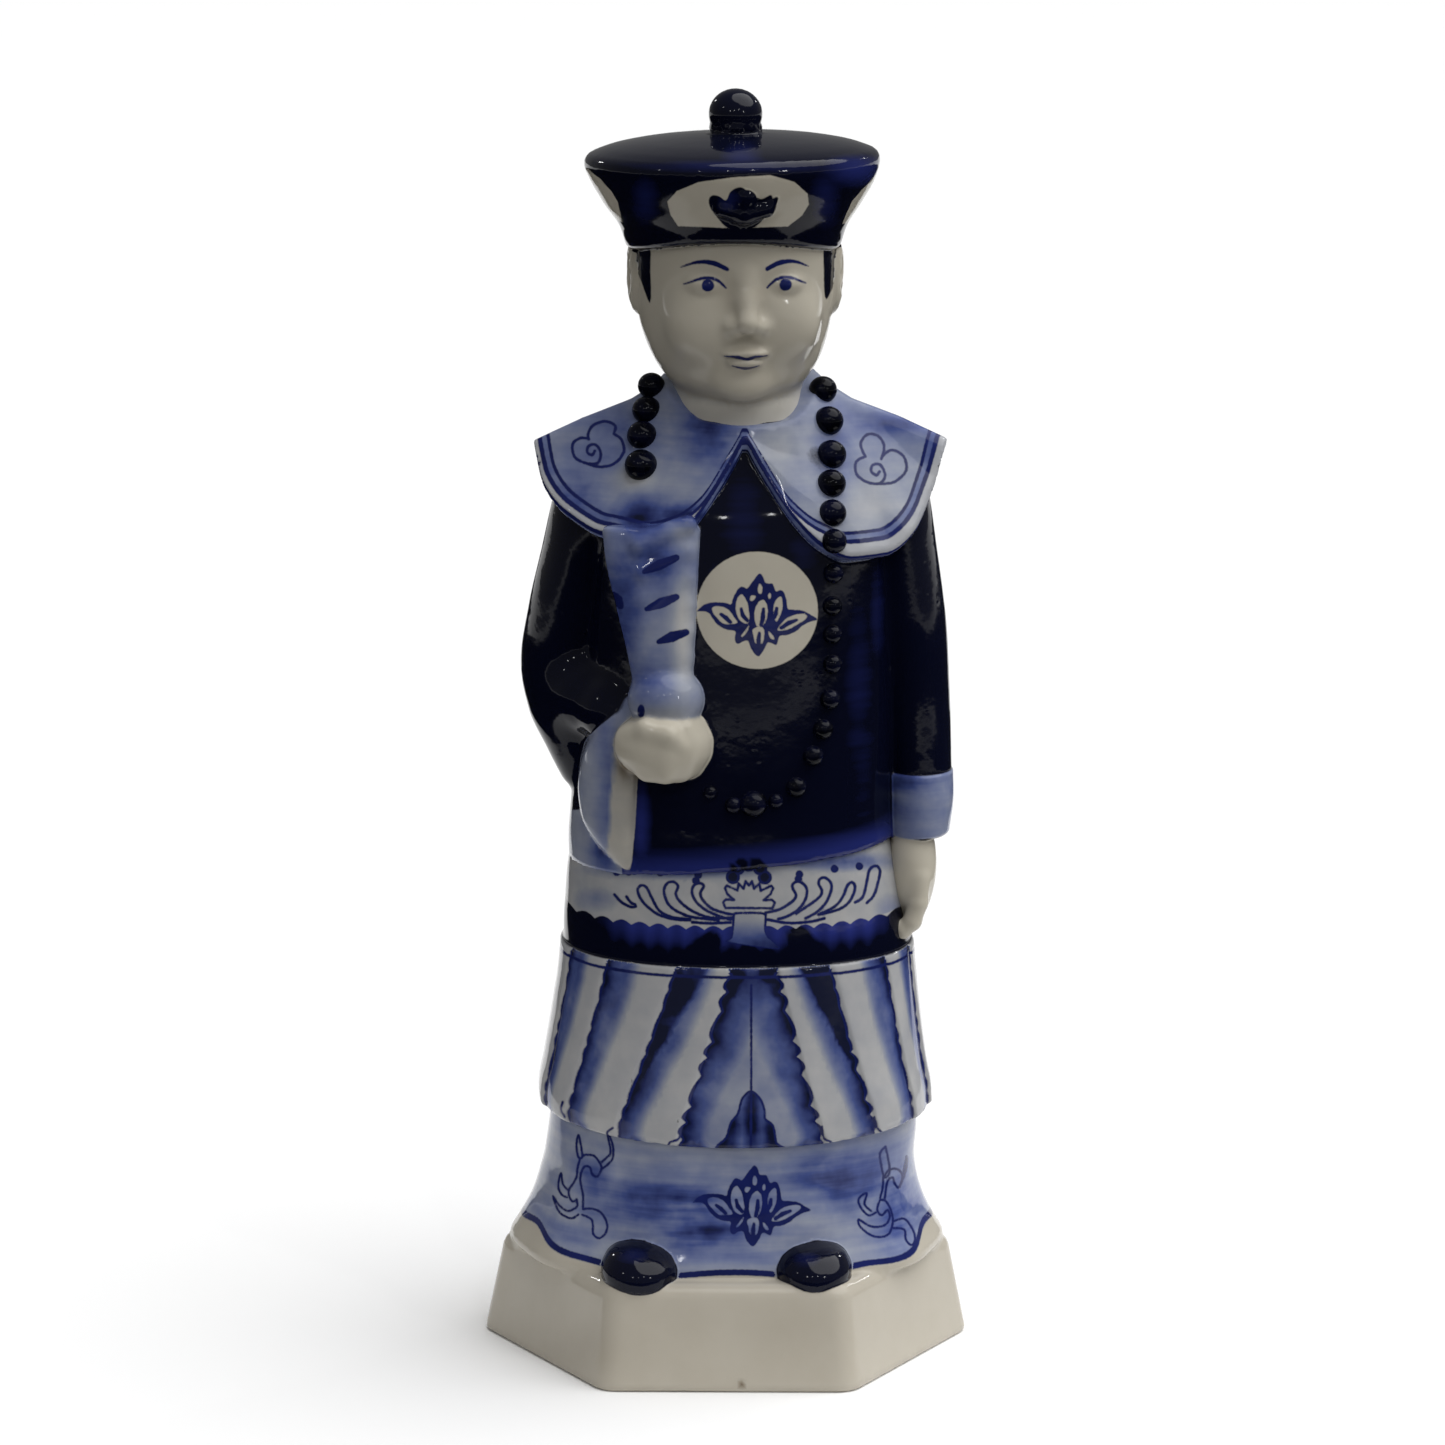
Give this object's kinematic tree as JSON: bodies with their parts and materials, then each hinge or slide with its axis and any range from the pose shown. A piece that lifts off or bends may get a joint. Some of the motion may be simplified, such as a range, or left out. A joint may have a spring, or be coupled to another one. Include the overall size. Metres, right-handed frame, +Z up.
{
  "type": "porcelain emperor figurine",
  "caption": "Standing figure in a flared court hat, cape collar, bead necklace and pleated robe, on a six-sided plinth; stands free as an ornament",
  "frame": {"origin": "centre of the flat underside, at the middle of the six-sided plinth's bounding box", "axes": "+Z up along the standing figure, -Y the way the figure faces, +X to the viewer's right through two of the plinth's corners"},
  "size_m": [0.104, 0.0916, 0.27],
  "materials": {
    "glazed_porcelain": "glossy transparent glaze over white porcelain, painted in underglaze blue"
  },
  "bodies": {
    "root": {"figurine": "glazed_porcelain"}
  },
  "joints": []
}
